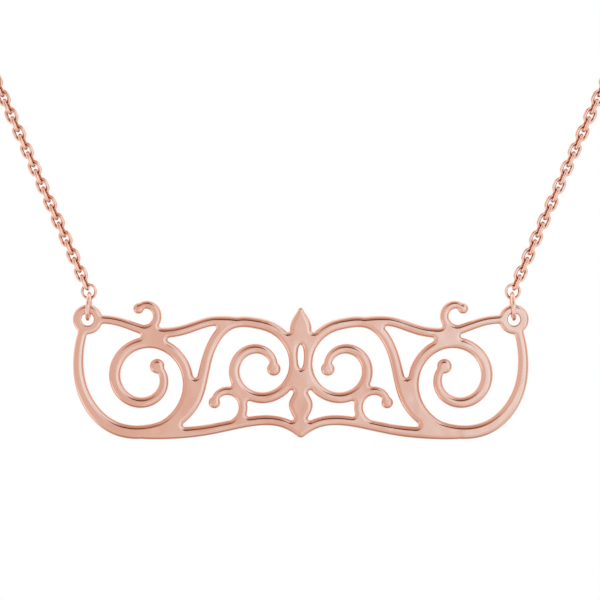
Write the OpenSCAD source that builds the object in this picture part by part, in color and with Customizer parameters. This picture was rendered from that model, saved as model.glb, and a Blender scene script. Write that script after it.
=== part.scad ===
// Nameplate necklace in rose gold: a pierced scroll plate hangs by two eyelets
// from jump rings, and a fine cable chain runs from them round the neck to a clasp.
// The wearer faces -Y, +X is to the right in a front view and +Z is up. The origin
// is the middle of the clasp, where the chain lies on the nape.

/* [Plate] */
// Distance between the centres of the two eyelets
span = 42.6; // [38:0.2:48]
// Depth of the scrollwork under the eyelet centres
drop = 11.6; // [11:0.1:14]
// Thickness of the plate
plate_t = 1.0; // [0.8:0.05:1.2]
// Width of a plain scroll stroke
stroke = 1.05; // [0.8:0.05:1.15]
// Radius left in the inner corners of the scrollwork
fillet_r = 0.2; // [0.1:0.05:0.3]
// Outer diameter of an eyelet
eyelet_d = 3.0; // [2.7:0.1:3.4]
// Bore of an eyelet
hole_d = 1.25; // [1.15:0.05:1.4]

/* [Rings] */
// Outer diameter of a jump ring
ring_d = 3.0; // [2.7:0.05:3.4]
// Wire of a jump ring
ring_wire = 0.45; // [0.3:0.01:0.55]
// Lean of a jump ring toward the middle, in degrees
ring_lean = 4.5; // [0:0.5:6]
// Turn of a jump ring about its upright, in degrees
ring_turn = 2; // [0:1:10]
// Gap between a jump ring and the edge of the eyelet that rests in it
seat_gap = 0.2; // [0.1:0.05:0.3]
// Wire of the round link at the end of each chain
end_wire = 0.3; // [0.28:0.01:0.36]
// Gap inside that round link between the jump ring and the first link
end_room = 0.1; // [0.1:0.05:0.3]

/* [Chain] */
// Outer length of a link
link_l = 1.8; // [1.7:0.05:2]
// Outer width of a link
link_w = 1.35; // [1.25:0.05:1.5]
// Wire of a link
link_wire = 0.37; // [0.26:0.01:0.39]
// Clearance where one link or ring bears on the next
play = 0.1; // [0.1:0.01:0.15]
// Outward turn of the links about the chain, in degrees
link_turn = 15; // [0:1:30]
// Links made one by one at each side, from the plate on
front_links = 100; // [40:2:110]

/* [Loop] */
// Angle between the upright and the chain beside the plate, in degrees
chain_lean = 23.7; // [18:0.1:30]
// Length of the straight chain beside the plate
straight_l = 24; // [20:1:30]
// Width of the loop round the neck
loop_w = 114; // [100:1:130]
// Distance from the plate back to the clasp
loop_d = 102; // [90:1:115]
// Height of the clasp over the eyelets
loop_h = 112; // [95:1:125]

/* [Clasp] */
// Outer diameter of the clasp ring
clasp_d = 5.5; // [5:0.1:7]
// Wire of the clasp ring
clasp_wire = 1.0; // [0.8:0.05:1.2]

/* [Hidden] */
gold = [0.87, 0.68, 0.60];
half = span / 2;

// Stems of the scrollwork, right half. Every row is a control point of a smooth curve:
// x as a share of half the span, z as a share of the drop, width as a share of the stroke.
STEMS = [
    // main stem: eyelet, outer edge, foot, up between the two scrolls, over the inner one
    [[1.0, 0, 0.9], [1.045, -0.2, 0.95], [1.05, -0.62, 1.15], [0.9, -0.985, 1.35], [0.66, -0.985, 1.35],
     [0.47, -0.74, 1.2], [0.45, -0.28, 1.0], [0.34, 0.01, 1.05], [0.19, -0.04, 1.1]],
    // top rail: eyelet to the crown of the inner scroll
    [[0.97, 0, 0.85], [0.86, 0, 0.85], [0.72, -0.12, 1.0], [0.57, -0.12, 1.0], [0.44, -0.01, 0.95],
     [0.34, -0.01, 0.95], [0.25, -0.03, 0.9]],
    // bottom rail: foot of the main stem to the point in the middle
    [[0.85, -0.95, 0.9], [0.76, -0.985, 1.2], [0.62, -0.985, 1.15], [0.44, -0.965, 1.05], [0.22, -0.86, 1.0],
     [0.08, -0.87, 1.0], [0, -0.975, 1.0]]
];

// Stems on the middle line, with the same columns
MIDDLE = [
    // bud
    [[0, -0.44, 0.8], [0, -0.61, 0.8], [0, -0.72, 2.8], [0, -0.82, 1.8], [0, -0.9, 0.6]],
    // finial
    [[0, -0.3, 0.8], [0, -0.2, 0.8], [0, -0.1, 2.4], [0, 0, 1.8], [0, 0.08, 0.5]]
];
STEM_STEPS = 7;

// Curls that leave a stem along its heading and wind up as a log spiral.
// Columns: stem, place along it, side (1 left, -1 right), first and last radius as shares
// of the drop, sweep in degrees, then widths as shares of the stroke: start, middle, end, ball.
CURLS = [
    // inner scroll
    [0, 1.0, 1, 0.385, 0.135, 450, 1.1, 1.1, 0.7, 1.35],
    // outer scroll
    [0, 0.455, -1, 0.47, 0.155, 500, 1.0, 1.15, 0.75, 1.45],
    // tendril on the top rail
    [1, 0.34, -1, 0.13, 0.08, 250, 0.9, 0.85, 0.65, 1.05],
    // tendril on the bottom rail
    [2, 0.56, -1, 0.185, 0.1, 255, 0.9, 0.9, 0.65, 1.15]
];
CURL_STEP = 9;

// Slit pierced in the middle: height and length as shares of the drop, width of the stroke
SLIT = [-0.32, 0.2, 0.55];

// Chain line, right half, between the end link and the clasp: x as a share of half the
// loop's width, y of its depth and z of its height, chosen by hand round a neck.
ROUTE = [
    [0.68, 0.05, 0.37], [0.82, 0.13, 0.51], [0.93, 0.27, 0.66], [1.0, 0.46, 0.8],
    [0.94, 0.67, 0.91], [0.72, 0.86, 0.97], [0.38, 0.97, 1.0], [0.16, 1.0, 1.0]
];
ROUTE_STEPS = 10;

// Ring frames
ring_r = (ring_d - ring_wire) / 2;
ring_in_r = ring_d / 2 - ring_wire;
// the round link holds a jump ring, the first link and the gap between them
end_r = (ring_wire + link_wire + end_wire + end_room) / 2 + play;
clasp_r = (clasp_d - clasp_wire) / 2;
// a ring bears on the two edges of the eyelet's bore, a plate's thickness apart
ring_up = hole_d / 2 + sqrt(pow(ring_in_r - seat_gap, 2) - pow(plate_t / 2, 2));
ring_x = half - ring_r * sin(ring_lean);
ring_top = [ring_x - ring_r * sin(ring_lean), 0, ring_up + ring_r * cos(ring_lean)];
chain_dir = [sin(chain_lean), 0, cos(chain_lean)];
end_c = ring_top + (end_r - (ring_wire + end_wire) / 2 - play) * chain_dir;

// Links: centre to end wire, centre to side wire, and the step from link to link
link_r = (link_w - link_wire) / 2;
link_half = (link_l - link_wire) / 2;
pitch = link_l - 2 * link_wire - play;
first_link = end_r - (end_wire + link_wire) / 2 - play + link_half;
eye_pos = [0, -loop_d, -loop_h];

function lerp(a, b, t) = a + (b - a) * t;
function unit(v) = v / norm(v);
function heading(a, b) = atan2(b[1] - a[1], b[0] - a[0]);

// Uniform cubic B-spline that starts and ends at its outer control points
function smooth(p, steps) =
    let (n = len(p), q = [for (i = [-2 : n + 1]) p[min(max(i, 0), n - 1)]])
    [for (i = [0 : n], k = [0 : i == n ? steps : steps - 1])
        let (t = k / steps, s = 1 - t)
        (s * s * s * q[i] + (3 * t * t * t - 6 * t * t + 4) * q[i + 1]
         + (3 * s * s * s - 6 * s * s + 4) * q[i + 2] + t * t * t * q[i + 3]) / 6];

// Width that swells from a over m to b
function swell(a, m, b, u) = lerp(u < 0.5 ? a : b, m, sin(180 * u));

// Log spiral: starts at a point along heading a, bends to a side, radius r0 falls to r1
function curl(start, a, side, r0, r1, sweep, w) =
    let (turn = sweep * PI / 180, k = ln(r0 / r1) / turn, q = k * k + 1, n = ceil(sweep / CURL_STEP))
    [for (i = [0 : n])
        let (u = i / n, g = exp(-k * turn * u),
             re = g * cos(sweep * u) - 1, im = side * g * sin(sweep * u),
             x = r0 * (side * im - k * re) / q, z = -r0 * (side * re + k * im) / q)
        [start[0] + x * cos(a) - z * sin(a), start[1] + x * sin(a) + z * cos(a),
         swell(w[0], w[1], w[2], u)]];

function stem(rows) = smooth([for (r = rows) [r[0] * half, r[1] * drop, r[2] * stroke]], STEM_STEPS);
stems = [for (s = STEMS) stem(s)];
curls = [for (c = CURLS)
    let (p = stems[c[0]], n = len(p) - 1, i = round(c[1] * n))
    curl(p[i], heading(p[max(i - 1, 0)], p[min(i + 1, n)]), c[2],
         c[3] * drop, c[4] * drop, c[5], stroke * [c[6], c[7], c[8]])];

module ribbon(p) {
    n = len(p) - 1;
    side = [for (i = [0 : n])
        let (h = heading(p[max(i - 1, 0)], p[min(i + 1, n)]), w = p[i][2] / 2)
        [-w * sin(h), w * cos(h)]];
    at = [for (r = p) [r[0], r[1]]];
    for (i = [0 : n - 1])
        polygon([at[i] + side[i], at[i + 1] + side[i + 1], at[i + 1] - side[i + 1], at[i] - side[i]]);
    for (i = [0, n])
        translate(at[i]) circle(d = p[i][2], $fn = 24);
}

module scrollwork() {
    for (s = stems)
        ribbon(s);
    for (i = [0 : len(curls) - 1]) {
        ribbon(curls[i]);
        tip = curls[i][len(curls[i]) - 1];
        translate([tip[0], tip[1]]) circle(d = CURLS[i][9] * stroke, $fn = 24);
    }
    translate([half, 0]) circle(d = eyelet_d, $fn = 48);
}

module outline() {
    offset(r = -fillet_r, $fn = 16) offset(delta = fillet_r) {
        scrollwork();
        mirror([1, 0]) scrollwork();
        for (s = MIDDLE)
            ribbon(stem(s));
    }
}

module nameplate() {
    color(gold) translate(eye_pos) rotate([90, 0, 0]) difference() {
        linear_extrude(plate_t, center = true) difference() {
            outline();
            translate([0, SLIT[0] * drop]) scale([SLIT[2] * stroke, SLIT[1] * drop]) circle(d = 1, $fn = 24);
        }
        for (x = [-half, half])
            translate([x, 0, 0]) cylinder(d = hole_d, h = 2 * plate_t, center = true, $fn = 48);
    }
}

module wire_ring(r, wire) {
    rotate_extrude($fn = 48) translate([r, 0]) circle(d = wire, $fn = 24);
}

// Upright ring in the Y-Z plane, turned about the upright and leaned toward the middle
module jump_ring(side) {
    color(gold) translate(eye_pos + [side * ring_x, 0, ring_up])
        rotate([0, -side * ring_lean, 0]) rotate([0, 90, side * ring_turn]) wire_ring(ring_r, ring_wire);
}

// Chain line as points, and the length along it up to each point
clasp_end = [clasp_d / 2 + play, loop_d, loop_h];
line = smooth(concat(
    [for (k = [0 : 3]) end_c + k / 3 * straight_l * chain_dir],
    [for (r = ROUTE) [r[0] * loop_w / 2, r[1] * loop_d, r[2] * loop_h]],
    [clasp_end]), ROUTE_STEPS);
run = [for (i = 0, s = 0; i < len(line);
            i = i + 1, s = i < len(line) ? s + norm(line[i] - line[i - 1]) : s) s];

// Direction at each point, and a cross direction carried along the line without twist
along = [for (i = [0 : len(line) - 1]) unit(line[min(i + 1, len(line) - 1)] - line[max(i - 1, 0)])];
function level(v, t) = unit(v - (v * t) * t);
first_cross = cos(link_turn) * [0, -1, 0] + sin(link_turn) * cross(chain_dir, [0, -1, 0]);
across = [for (i = 0, c = level(first_cross, along[0]); i < len(line);
               i = i + 1, c = i < len(line) ? level(c, along[i]) : c) c];

// Place on the line at length s: position, direction, cross direction
function place(s) =
    let (i = max([for (k = [0 : len(run) - 2]) run[k] <= s ? k : 0]),
         t = (s - run[i]) / (run[i + 1] - run[i]), d = unit(lerp(along[i], along[i + 1], t)))
    [lerp(line[i], line[i + 1], t), d, level(lerp(across[i], across[i + 1], t), d)];

// Puts a child along X at a place, with its Z on the cross direction, on either side
module at_place(f, side) {
    d = f[1];
    z = f[2];
    y = cross(z, d);
    translate(eye_pos) scale([side, 1, 1])
        multmatrix([[d[0], y[0], z[0], f[0][0]], [d[1], y[1], z[1], f[0][1]],
                    [d[2], y[2], z[2], f[0][2]], [0, 0, 0, 1]])
        children();
}

module link() {
    s = link_half - link_r;
    for (m = [0, 180])
        rotate([0, 0, m]) {
            translate([s, 0, 0]) rotate([0, 0, -90])
                rotate_extrude(angle = 180, $fn = 32) translate([link_r, 0]) circle(d = link_wire, $fn = 16);
            translate([-s, link_r, 0]) rotate([0, 90, 0]) cylinder(d = link_wire, h = 2 * s, $fn = 16);
        }
}

// Round link whose plane holds the chain's direction, so that it faces forward
module end_link(side) {
    color(gold) at_place([end_c, chain_dir, first_cross], side) wire_ring(end_r, end_wire);
}

// Links stand edge on and face on in turn
module chain_front(side) {
    color(gold) for (i = [0 : front_links - 1])
        at_place(place(first_link + i * pitch), side) rotate([i % 2 == 0 ? 90 : 0, 0, 0]) link();
}

// The rest of the chain as one eight-sided tube as thick as a link is wide
tube_start = first_link + (front_links - 1) * pitch + link_l / 2 + play;
tube_rings = ceil((run[len(run) - 1] - tube_start) / (2.5 * link_w));
module chain_back(side) {
    n = 8;
    step = (run[len(run) - 1] - tube_start) / tube_rings;
    rings = [for (i = [0 : tube_rings])
        let (f = place(tube_start + i * step), y = cross(f[2], f[1]))
        for (k = [0 : n - 1])
            f[0] + link_w / 2 * (cos(360 * k / n) * y + sin(360 * k / n) * f[2])];
    sides = [for (i = [0 : tube_rings - 1], k = [0 : n - 1])
        [i * n + k, i * n + (k + 1) % n, (i + 1) * n + (k + 1) % n, (i + 1) * n + k]];
    ends = [[for (k = [n - 1 : -1 : 0]) k], [for (k = [0 : n - 1]) tube_rings * n + k]];
    color(gold) translate(eye_pos) scale([side, 1, 1])
        polyhedron(rings, concat(sides, ends));
}

// Closed ring at the nape that stands for the fastened clasp
module clasp() {
    color(gold) rotate([90, 0, 0]) wire_ring(clasp_r, clasp_wire);
}

nameplate();
jump_ring(-1);  // jump_ring_left
jump_ring(1);  // jump_ring_right
end_link(-1);  // end_link_left
end_link(1);  // end_link_right
chain_front(-1);  // chain_left_front
chain_front(1);  // chain_right_front
chain_back(-1);  // chain_left_back
chain_back(1);  // chain_right_back
clasp();
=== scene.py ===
"""Nameplate necklace in rose gold: a pierced scroll plate on a fine cable chain."""
import math

import bpy
import numpy as np
from mathutils import Matrix, Vector
from mathutils.geometry import delaunay_2d_cdt


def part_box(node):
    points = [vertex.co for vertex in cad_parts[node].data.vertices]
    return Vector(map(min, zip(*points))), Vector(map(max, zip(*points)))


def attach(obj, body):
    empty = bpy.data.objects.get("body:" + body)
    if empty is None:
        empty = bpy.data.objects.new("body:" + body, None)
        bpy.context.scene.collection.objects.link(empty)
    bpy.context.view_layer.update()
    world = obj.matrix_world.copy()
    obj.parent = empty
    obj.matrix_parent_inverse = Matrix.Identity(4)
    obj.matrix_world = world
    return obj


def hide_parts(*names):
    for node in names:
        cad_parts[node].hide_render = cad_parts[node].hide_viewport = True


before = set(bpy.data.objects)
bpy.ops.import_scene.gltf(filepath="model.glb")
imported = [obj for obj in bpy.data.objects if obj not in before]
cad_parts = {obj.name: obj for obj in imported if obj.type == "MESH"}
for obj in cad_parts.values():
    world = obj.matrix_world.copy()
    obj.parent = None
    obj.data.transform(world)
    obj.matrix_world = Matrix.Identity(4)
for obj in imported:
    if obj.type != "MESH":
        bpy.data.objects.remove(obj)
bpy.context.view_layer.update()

# Nameplate
# One piece of silver sheet, sawn through as scrollwork, tumbled until every edge is soft,
# then polished and plated with rose gold. Its two eyelets are part of the sheet, drilled last.
mm = 0.001
# how far an edge rolls into the face and how deep, and how far at a bore: an outline
# shorter than drilled_round
edge_run = 0.5 * mm
edge_drop = 0.42 * mm
drilled_run = 0.14 * mm
drilled_round = 4.5 * mm
edge_turns = [0, 14, 28, 42, 54, 65, 74, 82, 90]
# share of the room in a stroke that an edge may take, and the rounds that even this out
thin_share = 0.9
evening_rounds = 12
outline_step = 0.125 * mm
corner_apart = 0.03 * mm
curve_steps = 8
fewest_steps = 12
# what still counts as facing straight out, as level and as ahead; corners are one point
# where they round to the same key or lie this close together
straight_from = 0.99
level_within = 1e-7
ahead_from = 1e-8
keys_per_metre = 1e8
one_point_within = 1e-9


def face_outline(node, level, facing):
    """Outlines of a flat face of a node, as loops of (x, z) with the metal on one side."""
    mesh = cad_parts[node].data
    place = {}
    count = {}
    for face in mesh.polygons:
        corners = [mesh.vertices[i].co for i in face.vertices]
        off_level = any(abs(c.y - level) > level_within for c in corners)
        if off_level or face.normal.y * facing < straight_from:
            continue
        keys = [(round(c.x * keys_per_metre), round(c.z * keys_per_metre)) for c in corners]
        for key, corner in zip(keys, corners):
            place[key] = (corner.x, corner.z)
        for start, end in zip(keys, keys[1:] + keys[:1]):
            count[start, end] = count.get((start, end), 0) + 1
    follows = {start: end for start, end in count if (end, start) not in count}
    loops = []
    while follows:
        key, after = follows.popitem()
        loop = [place[key]]
        while after in follows:
            loop.append(place[after])
            after = follows.pop(after)
        loops.append(np.array(loop))
    return loops


def even_loop(points, step):
    """A closed smooth curve through the points, in even steps."""
    kept = [points[0]]
    for point in points[1:]:
        if np.linalg.norm(point - kept[-1]) > corner_apart:
            kept.append(point)
    if np.linalg.norm(kept[0] - kept[-1]) < corner_apart:
        kept.pop()
    before, start, end, after = (np.roll(kept, n, axis=0) for n in (1, 0, -1, -2))
    spans = ((before, start), (start, end), (end, after))
    gap = [np.sqrt(np.linalg.norm(b - a, axis=1))[:, None] for a, b in spans]
    leave = (start - before) / gap[0] - (end - before) / (gap[0] + gap[1]) + (end - start) / gap[1]
    arrive = (end - start) / gap[1] - (after - start) / (gap[1] + gap[2]) + (after - end) / gap[2]
    leave, arrive = leave * gap[1], arrive * gap[1]
    fine = []
    for t in np.arange(curve_steps) / curve_steps:
        fine.append((2 * t**3 - 3 * t**2 + 1) * start + (t**3 - 2 * t**2 + t) * leave
                    + (3 * t**2 - 2 * t**3) * end + (t**3 - t**2) * arrive)
    curve = np.stack(fine, axis=1).reshape(-1, 2)
    curve = np.vstack([curve, curve[:1]])
    run = np.concatenate([[0], np.cumsum(np.linalg.norm(np.diff(curve, axis=0), axis=1))])
    count = max(fewest_steps, round(run[-1] / step))
    at = np.arange(count) * run[-1] / count
    return np.stack([np.interp(at, run, curve[:, k]) for k in (0, 1)], axis=1)


def inward(loop):
    """Unit directions from the outline into the metal."""
    along = np.roll(loop, -1, axis=0) - np.roll(loop, 1, axis=0)
    along /= np.linalg.norm(along, axis=1)[:, None]
    return np.stack([-along[:, 1], along[:, 0]], axis=1)


def room_inside(points, into):
    """How far each point can move inward before another edge is as near."""
    room = []
    for point, way in zip(points, into):
        to = points - point
        ahead = to @ way
        inside = ahead > ahead_from
        room.append((np.sum(to[inside]**2, axis=1) / (2 * ahead[inside])).min())
    return np.array(room)


def smoothed(values, rounds):
    """The values of a loop evened out, none of them above what it was."""
    for _ in range(rounds):
        values = np.minimum(values, (np.roll(values, 1) + values + np.roll(values, -1)) / 3)
    return values


def add_piece(name, verts, faces):
    """A smooth piece in the scene from its vertices and faces."""
    mesh = bpy.data.meshes.new(name)
    mesh.from_pydata(verts, [], faces)
    mesh.polygons.foreach_set("use_smooth", [True] * len(mesh.polygons))
    piece = bpy.data.objects.new(name, mesh)
    bpy.context.scene.collection.objects.link(piece)
    return piece


def soft_plate(node, name):
    """The plate with its edges rolled over into the faces, front and back."""
    low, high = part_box(node)
    loops = [even_loop(loop, outline_step) for loop in face_outline(node, low.y, -1)]
    ways = [inward(loop) for loop in loops]
    room = room_inside(np.vstack(loops), np.vstack(ways))
    offsets = np.cumsum([0] + [len(loop) for loop in loops])
    runs = []
    for loop, a, b in zip(loops, offsets, offsets[1:]):
        widest = drilled_run if len(loop) * outline_step < drilled_round else edge_run
        runs.append(smoothed(np.minimum(widest, thin_share * room[a:b]), evening_rounds))
    points, way, run = np.vstack(loops), np.vstack(ways), np.concatenate(runs)
    drop = run * edge_drop / edge_run
    total = len(points)
    after = np.concatenate([np.roll(np.arange(a, b), -1) for a, b in zip(offsets, offsets[1:])])

    # the outline again and again: from the front face out over its edge, then in to the back
    rings, normals = [], []
    turns = [math.radians(a) for a in edge_turns]
    for side, level in ((1, low.y), (-1, high.y)):
        for turn in turns if side == -1 else reversed(turns):
            flat = points + way * run[:, None] * (1 - math.cos(turn))
            depth = level + side * drop * (1 - math.sin(turn))
            rings.append(np.column_stack([flat[:, 0], depth, flat[:, 1]]))
            tilt = -way * math.cos(turn) * edge_drop
            outward = np.full(total, -side * math.sin(turn) * edge_run)
            normal = np.column_stack([tilt[:, 0], outward, tilt[:, 1]])
            normals.append(normal / np.linalg.norm(normal, axis=1)[:, None])
    faces = []
    for k in range(len(rings) - 1):
        here, there = k * total, (k + 1) * total
        for i in range(total):
            j = after[i]
            faces.append((here + i, there + i, there + j, here + j))

    # the two flat faces: triangles between the outlines, kept where their middle is in metal
    inner = [Vector(p) for p in rings[0][:, (0, 2)]]
    border = [(i, int(after[i])) for i in range(total)]
    _, _, cells, origin, _, _ = delaunay_2d_cdt(inner, border, [], 0, one_point_within)
    start, end = rings[0][:, (0, 2)], rings[0][after][:, (0, 2)]
    last = (len(rings) - 1) * total
    for cell in cells:
        a, b, c = (origin[i][0] for i in cell)
        middle = (start[a] + start[b] + start[c]) / 3
        spans = (start[:, 1] > middle[1]) != (end[:, 1] > middle[1])
        p, q = start[spans], end[spans]
        cross = p[:, 0] + (middle[1] - p[:, 1]) * (q[:, 0] - p[:, 0]) / (q[:, 1] - p[:, 1])
        if np.count_nonzero(cross > middle[0]) % 2:
            faces.append((a, b, c))
            faces.append((last + a, last + c, last + b))
    piece = add_piece(name, np.vstack(rings).tolist(), faces)
    piece.data.normals_split_custom_set_from_vertices(np.vstack(normals).tolist())
    return piece


class Value:
    """A shader socket that takes part in Python arithmetic."""

    def __init__(self, shading, socket):
        self.shading = shading
        self.socket = socket

    def maths(self, operation, first, second):
        return self.shading.node("ShaderNodeMath", {"operation": operation}, {0: first, 1: second})

    def __add__(self, other):
        return self.maths("ADD", self, other)

    def __sub__(self, other):
        return self.maths("SUBTRACT", self, other)

    def __rsub__(self, other):
        return self.maths("SUBTRACT", other, self)

    def __mul__(self, other):
        return self.maths("MULTIPLY", self, other)

    __radd__ = __add__
    __rmul__ = __mul__


class Shading:
    """The node tree of a material or of the world."""

    def __init__(self, owner):
        owner.use_nodes = True
        self.tree = owner.node_tree
        self.tree.nodes.clear()

    def node(self, kind, settings=None, sockets=None, out=0):
        """A new node with its settings and the values or links of its sockets."""
        made = self.tree.nodes.new(kind)
        for name, value in (settings or {}).items():
            setattr(made, name, value)
        for name, value in (sockets or {}).items():
            if isinstance(value, Value):
                self.tree.links.new(value.socket, made.inputs[name])
            else:
                made.inputs[name].default_value = value
        return Value(self, made.outputs[out]) if made.outputs else None

    def noise(self, place, scale, detail):
        """Cloudy values round 0.5, with as many cells to a metre as the scale says."""
        return self.node("ShaderNodeTexNoise", {}, {"Vector": place, "Scale": scale, "Detail": detail})

    def mix(self, share, a, b):
        """Colour a where share is 0, colour b where it is 1."""
        # sockets 6 and 7 of a Mix node take its colours, and output 2 gives the mixed one
        return self.node("ShaderNodeMix", {"data_type": "RGBA"}, {0: share, 6: a, 7: b}, out=2)

    def between(self, value, low, high):
        """0 up to the low value, 1 from the high value on, eased between them."""
        return self.node("ShaderNodeMapRange", {"interpolation_type": "SMOOTHSTEP"},
                         {"Value": value, "From Min": low, "From Max": high})


def rose_gold(name, pale, red, painted_shade, reach, roughness, wave, coat):
    """Polished rose gold plating: a slow unevenness of the surface, fine polishing grain,
    a colour that is a little paler where the plating is thinner, and painted shade in the
    hollows: where metal stands within reach, the colour turns dark, standing in for the shade
    and for the light that bounces from one face to the next."""
    swells_per_metre, grains_per_metre, patches_per_metre = 260.0, 9000.0, 120.0
    grain_depth = 0.0001 * mm
    grain_share = 0.06
    red_up_to, pale_from = 0.3, 0.7
    painted_shade_from, painted_shade_full = 0.1, 0.55
    material = bpy.data.materials.new(name)
    shade = Shading(material)
    place = shade.node("ShaderNodeTexCoord", out="Object")
    slow = shade.noise(place, swells_per_metre, 2.0)
    grain = shade.noise(place, grains_per_metre, 3.0)
    thinness = shade.noise(place, patches_per_metre, 3.0)
    open_sky = shade.node("ShaderNodeAmbientOcclusion", {"samples": 12}, {"Distance": reach}, out="AO")
    tone = shade.mix(shade.between(thinness, red_up_to, pale_from), (*red, 1), (*pale, 1))
    # painted shade: the colour turns to the dark shade colour where little is open round a point
    colour = shade.mix(shade.between(1 - open_sky, painted_shade_from, painted_shade_full), tone, (*painted_shade, 1))
    swells = shade.node("ShaderNodeBump", {}, {"Strength": 1.0, "Distance": wave, "Height": slow})
    bumps = shade.node("ShaderNodeBump", {}, {
        "Strength": 1.0, "Distance": grain_depth, "Height": grain, "Normal": swells})
    surface = shade.node("ShaderNodeBsdfPrincipled", {}, {
        "Base Color": colour, "Metallic": 1.0, "Normal": bumps,
        "Roughness": roughness + grain_share * (grain - 0.5),
        "Coat Weight": coat, "Coat Roughness": 0.05})
    shade.node("ShaderNodeOutputMaterial", {}, {"Surface": surface})
    return material


# its darkest colour is painted shade in the hollows of the plate
plate_gold = rose_gold("plate_gold", pale=(0.85, 0.55, 0.455), red=(0.80, 0.47, 0.37),
                       painted_shade=(0.78, 0.44, 0.34), reach=0.4 * mm, roughness=0.15,
                       wave=0.06 * mm, coat=0.15)
plate = soft_plate("nameplate", "scroll_plate")
plate.data.materials.append(plate_gold)
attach(plate, "nameplate")
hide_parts("nameplate")

# Jump rings and round end links
# Rings of round rose gold wire, bent shut. A jump ring goes through each eyelet of the
# plate, and a smaller round link on it takes the first link of the chain.
ring_wire = 0.45 * mm
ring_lean = math.radians(4.5)
ring_turn = math.radians(2)
end_wire = 0.3 * mm
chain_lean = math.radians(23.7)
link_turn = math.radians(15)


def wire_loop(centre_line, wire, sides):
    """A closed round wire in the XY plane along the centre line, as vertices and faces."""
    count = len(centre_line)
    along = np.roll(centre_line, -1, axis=0) - np.roll(centre_line, 1, axis=0)
    out = np.stack([along[:, 1], -along[:, 0]], axis=1)
    out /= np.linalg.norm(out, axis=1)[:, None]
    verts = []
    for point, way in zip(centre_line, out):
        for k in range(sides):
            turn = 2 * math.pi * k / sides
            flat = point + way * math.cos(turn) * wire / 2
            verts.append((flat[0], flat[1], math.sin(turn) * wire / 2))
    faces = [(i * sides + k, (i + 1) % count * sides + k,
              (i + 1) % count * sides + (k + 1) % sides, i * sides + (k + 1) % sides)
             for i in range(count) for k in range(sides)]
    return np.array(verts), faces


def ring(radius, wire, stations, sides):
    """A round ring, as vertices and faces; the radius is that of the wire's middle."""
    turns = 2 * math.pi * np.arange(stations) / stations
    return wire_loop(radius * np.stack([np.cos(turns), np.sin(turns)], axis=1), wire, sides)


def middle(node):
    """Middle of a node's box."""
    low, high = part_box(node)
    return (low + high) / 2


# the plate's rose gold made paler, a painted highlight on the thin wires, with a much darker painted
# shade where the links cross
chain_gold = rose_gold("chain_gold", pale=(0.93, 0.66, 0.56), red=(0.9, 0.57, 0.45),
                       painted_shade=(0.55, 0.15, 0.05), reach=0.8 * mm, roughness=0.05,
                       wave=0.006 * mm, coat=0.3)
front = Vector((0, -1, 0))
for side, hand in ((-1, "left"), (1, "right")):
    jump = f"jump_ring_{hand}"
    low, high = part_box(jump)
    ring_r = (high.y - low.y - ring_wire) / 2 / math.cos(ring_turn)
    verts, faces = ring(ring_r, ring_wire, stations=72, sides=24)
    lean = Matrix.Rotation(-side * ring_lean, 4, "Y")
    turn = Matrix.Rotation(side * ring_turn, 4, "Z")
    on_edge = Matrix.Rotation(math.pi / 2, 4, "Y")
    piece = add_piece(jump + "_wire", verts.tolist(), faces)
    piece.data.transform(Matrix.Translation(middle(jump)) @ (lean @ turn @ on_edge))
    piece.data.materials.append(chain_gold)
    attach(piece, "chain")
    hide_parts(jump)

    end = f"end_link_{hand}"
    rise = Vector((side * math.sin(chain_lean), 0, math.cos(chain_lean)))
    facing = math.cos(link_turn) * front + side * math.sin(link_turn) * rise.cross(front)
    low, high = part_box(end)
    end_r = (high.z - low.z - end_wire) / 2 / math.sqrt(1 - facing.z**2)
    verts, faces = ring(end_r, end_wire, stations=56, sides=20)
    basis = Matrix((rise, facing.cross(rise), facing)).transposed().to_4x4()
    piece = add_piece(end + "_wire", verts.tolist(), faces)
    piece.data.transform(Matrix.Translation(middle(end)) @ basis)
    piece.data.materials.append(chain_gold)
    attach(piece, "chain")
    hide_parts(end)

# Cable chains
# Oval links of round wire, each turned a quarter against its neighbours, soldered shut
# and plated. They run straight up from the plate, over the collarbones and round the neck,
# where a longer oval at the end of each chain takes the thicker wire of the clasp.
link_l = 1.8 * mm
link_w = 1.35 * mm
link_wire = 0.37 * mm
play = 0.1 * mm
straight_l = 24 * mm
loop_w = 114 * mm
loop_d = 102 * mm
loop_h = 112 * mm
# the chain's way above its straight start, from the middle between the eyelets: shares of
# half the loop's width, of its depth and of its height
route = [
    (0.68, 0.05, 0.37), (0.82, 0.13, 0.51), (0.93, 0.27, 0.66), (1.0, 0.46, 0.8),
    (0.94, 0.67, 0.91), (0.72, 0.86, 0.97), (0.38, 0.97, 1.0), (0.16, 1.0, 1.0)]
route_steps = 10


def unit(v):
    return v / np.linalg.norm(v)


def smooth_line(controls, steps):
    """Uniform cubic B-spline that starts and ends at its outer points."""
    last = len(controls) - 1
    q = [controls[min(max(i, 0), last)] for i in range(-2, last + 3)]
    line = []
    for i in range(last + 2):
        for k in range(steps + 1 if i == last + 1 else steps):
            t = k / steps
            s = 1 - t
            line.append((s**3 * q[i] + (3 * t**3 - 6 * t**2 + 4) * q[i + 1]
                         + (3 * s**3 - 6 * s**2 + 4) * q[i + 2] + t**3 * q[i + 3]) / 6)
    return np.array(line)


eyelets = np.array([0, -loop_d, -loop_h])
start = np.array(middle("end_link_right"))
rise = np.array([math.sin(chain_lean), 0, math.cos(chain_lean)])
clasp_low, clasp_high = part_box("clasp")
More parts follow.
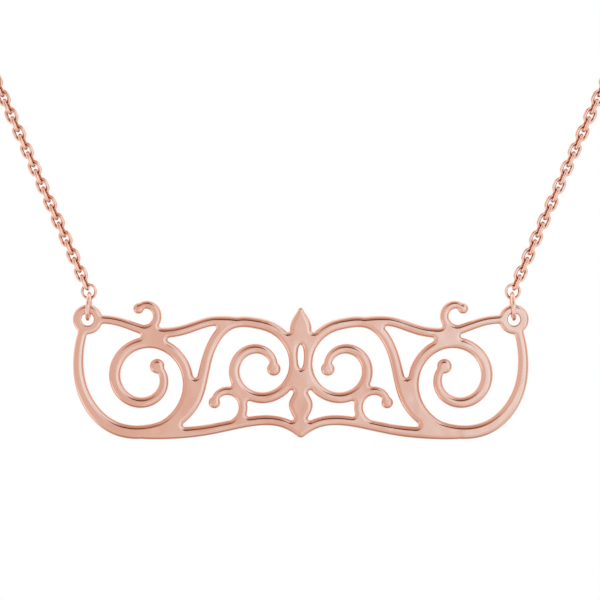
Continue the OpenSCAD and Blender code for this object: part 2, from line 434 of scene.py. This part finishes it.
# four points in a row keep the start of the line straight
controls = [start + k / 3 * straight_l * rise for k in range(4)]
controls += [eyelets + np.array(share) * [loop_w / 2, loop_d, loop_h] for share in route]
controls += [np.array([clasp_high.x + play, 0, 0])]
line = smooth_line(controls, route_steps)
run = np.concatenate([[0], np.cumsum(np.linalg.norm(np.diff(line, axis=0), axis=1))])
ahead = np.vstack([line[1:], line[-1:]])
behind = np.vstack([line[:1], line[:-1]])
along = np.array([unit(step) for step in ahead - behind])
forward = np.array(front)
cross_way = math.cos(link_turn) * forward + math.sin(link_turn) * np.cross(rise, forward)
across = []
for way in along:
    cross_way = unit(cross_way - cross_way.dot(way) * way)
    across.append(cross_way)
across = np.array(across)


def line_place(distance):
    """Position, direction and cross direction on the chain line."""
    i = min(int(np.searchsorted(run, distance, side="right")) - 1, len(run) - 2)
    t = (distance - run[i]) / (run[i + 1] - run[i])
    way = unit(along[i] + t * (along[i + 1] - along[i]))
    turned = across[i] + t * (across[i + 1] - across[i])
    return line[i] + t * (line[i + 1] - line[i]), way, unit(turned - turned.dot(way) * way)


def oval_link(length, width, wire, bow_steps, sides):
    """A link with round bows and short straight sides, as vertices and faces."""
    bow = (width - wire) / 2
    reach = (length - wire) / 2 - bow
    turns = np.radians(np.linspace(-90, 90, bow_steps))
    right = np.stack([reach + bow * np.cos(turns), bow * np.sin(turns)], axis=1)
    return wire_loop(np.vstack([right, -right]), wire, sides)


pitch = link_l - 2 * link_wire - play
first_link = end_r - (end_wire + link_wire) / 2 - play + (link_l - link_wire) / 2
oval_w = 1.95 * mm
oval_wire = 0.35 * mm
oval_room = 0.9 * mm
# an odd number of links, so that the last one stands across the oval that holds it
links = int((run[-1] - first_link - oval_room) / pitch) // 2 * 2 + 1
last_link = line_place(first_link + (links - 1) * pitch)[0][0]
oval_far = last_link - (link_l - link_wire) / 2 + (link_wire + oval_wire) / 2 + play
oval_near = clasp_high.x - (clasp_high.y - clasp_low.y) - play - oval_wire / 2
link = oval_link(link_l, link_w, link_wire, bow_steps=11, sides=12)
oval = oval_link(oval_far - oval_near + oval_wire, oval_w, oval_wire, bow_steps=23, sides=20)
threaded = []
for i in range(links):
    position, way, face_way = line_place(first_link + i * pitch)
    third = np.cross(face_way, way)
    basis = np.array([way, third, face_way]) if i % 2 else np.array([way, face_way, -third])
    threaded.append((link, position, basis))
basis = np.array([along[-1], np.cross(across[-1], along[-1]), across[-1]])
threaded.append((oval, np.array([(oval_far + oval_near) / 2, 0, 0]), basis))
for side, hand in ((-1, "left"), (1, "right")):
    verts, faces = [], []
    for (shape, shape_faces), position, basis in threaded:
        begin = len(verts)
        verts.extend(((position + shape @ basis) * [side, 1, 1]).tolist())
        for face in shape_faces:
            faces.append(tuple(begin + v for v in (face if side == 1 else reversed(face))))
    chain = add_piece(f"chain_{hand}", verts, faces)
    chain.data.materials.append(chain_gold)
    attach(chain, "chain")
    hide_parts(f"chain_{hand}_front", f"chain_{hand}_back")

# Clasp
# A plain closed ring of thicker round wire, in the same rose gold, at the nape. The oval at
# the end of each chain goes round its wire.
clasp_wire = clasp_high.y - clasp_low.y
clasp_r = (clasp_high.x - clasp_low.x - clasp_wire) / 2
verts, faces = ring(clasp_r, clasp_wire, stations=96, sides=32)
clasp = add_piece("clasp_ring", verts.tolist(), faces)
clasp.data.transform(Matrix.Rotation(math.pi / 2, 4, "X"))
clasp.data.materials.append(chain_gold)
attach(clasp, "chain")
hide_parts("clasp")

# Studio
# A pale paper floor and, for the metal to mirror, a pale warm room that is white behind. The
# wide light in front is warm on its left and bright and cool on its right. Smaller soft round
# panels shade or brighten parts of it, as each line of the list says.
floor_size = 0.6
floor_z = -0.2
fibres_per_metre = 900.0
floor_corners = [(x * floor_size, y * floor_size, floor_z)
                 for x, y in ((-1, -1), (1, -1), (1, 1), (-1, 1))]
floor_mesh = bpy.data.meshes.new("floor")
floor_mesh.from_pydata(floor_corners, [], [(0, 1, 2, 3)])
floor = bpy.data.objects.new("floor", floor_mesh)
bpy.context.scene.collection.objects.link(floor)
paper = bpy.data.materials.new("paper")
shade = Shading(paper)
place = shade.node("ShaderNodeTexCoord", out="Object")
fibre = shade.noise(place, fibres_per_metre, 4.0)
tone = shade.mix(fibre, (0.86, 0.86, 0.86, 1), (0.92, 0.92, 0.92, 1))
surface = shade.node("ShaderNodeBsdfPrincipled", {}, {"Base Color": tone, "Roughness": 0.9})
shade.node("ShaderNodeOutputMaterial", {}, {"Surface": surface})
floor_mesh.materials.append(paper)
# the metal mirrors the room and not the floor
floor.visible_glossy = False

world = bpy.data.worlds.new("studio")
bpy.context.scene.world = world
room = Shading(world)
way = room.node("ShaderNodeTexCoord", out="Generated")


def round_panel(azimuth, elevation, radius, softness):
    """1 inside a round panel of the room, 0 outside it."""
    turn, height = math.radians(azimuth), math.radians(elevation)
    centre = (math.sin(turn) * math.cos(height), -math.cos(turn) * math.cos(height), math.sin(height))
    towards = room.node("ShaderNodeVectorMath", {"operation": "DOT_PRODUCT"},
                        {0: way, 1: centre}, out="Value")
    outer, inner = (math.cos(math.radians(angle)) for angle in (radius + softness, radius))
    return room.between(towards, outer, inner)


# azimuth from the front to the right, elevation, radius and softness in degrees, and colour;
# each panel covers those before it
panels = [
    (0, -82, 16, 28, (0.52, 0.39, 0.33)),    # dim and warm, below
    (0, 0, 50, 25, None),                    # the wide light in front
    (0, 62, 12, 14, (0.66, 0.45, 0.36)),     # dim and warm, high up
    (180, 20, 62, 30, (1.15, 1.12, 1.1)),    # white, behind
    (75, 0, 16, 14, (0.76, 0.6, 0.52)),      # dim and warm, on the right
    (24, -36, 14, 13, (0.9, 0.9, 0.92)),     # pale, low on the right
    (-20, -30, 12, 14, (0.88, 0.82, 0.76)),  # pale and warm, low on the left
    (15, -9, 5, 8, (1.0, 1.07, 1.14)),       # small and cool, right of the middle
    (33, 20, 8, 12, (1.0, 1.1, 1.2)),        # cool, above on the right
    (-73, -29, 10, 12, (1.25, 1.3, 1.32)),   # bright, low on the far left
    (-20, 34, 6, 9, (0.5, 0.27, 0.18)),      # brown, above on the left
    (-1, 27, 12, 10, (0.5, 0.27, 0.18)),     # brown, above the middle
    (2, 26, 6, 7, (0.08, 0.035, 0.02)),      # its dark core
]
room_rest = (0.84, 0.77, 0.73, 1)
front_left = (0.854, 0.732, 0.664, 1)
front_right = (1.03, 1.296, 1.43, 1)
fade_from, fade_to = (math.sin(math.radians(a)) for a in (-2, 4.5))
sideways = room.node("ShaderNodeSeparateXYZ", {}, {"Vector": way}, out="X")
front_light = room.mix(room.between(sideways, fade_from, fade_to), front_left, front_right)
light = room_rest
for azimuth, elevation, radius, softness, colour in panels:
    inside = round_panel(azimuth, elevation, radius, softness)
    light = room.mix(inside, light, (*colour, 1) if colour else front_light)
# the picture's ground is plain white, whatever the metal mirrors
seen = room.node("ShaderNodeLightPath", out="Is Camera Ray")
light = room.mix(seen, light, (1, 1, 1, 1))
backdrop = room.node("ShaderNodeBackground", {}, {"Color": light, "Strength": 1.0})
room.node("ShaderNodeOutputWorld", {}, {"Surface": backdrop})

# Camera
# A long lens straight at the plate; the picture is 60 mm wide there. It aims a little to the
# left of the middle and above the eyelets.
view_width = 60 * mm
view_distance = 450 * mm
aim_x = -0.08 * mm
aim_over_eyelets = 1.94 * mm
sensor_width = 36
camera_data = bpy.data.cameras.new("camera")
camera_data.sensor_width = sensor_width
camera_data.lens = sensor_width * view_distance / view_width
camera_data.clip_start = 0.01
camera = bpy.data.objects.new("camera", camera_data)
camera.location = (aim_x, -loop_d - view_distance, -loop_h + aim_over_eyelets)
camera.rotation_euler = (math.pi / 2, 0, 0)
bpy.context.scene.collection.objects.link(camera)
bpy.context.scene.camera = camera
bpy.context.scene.view_settings.view_transform = "Standard"
bpy.context.scene.view_settings.look = "None"
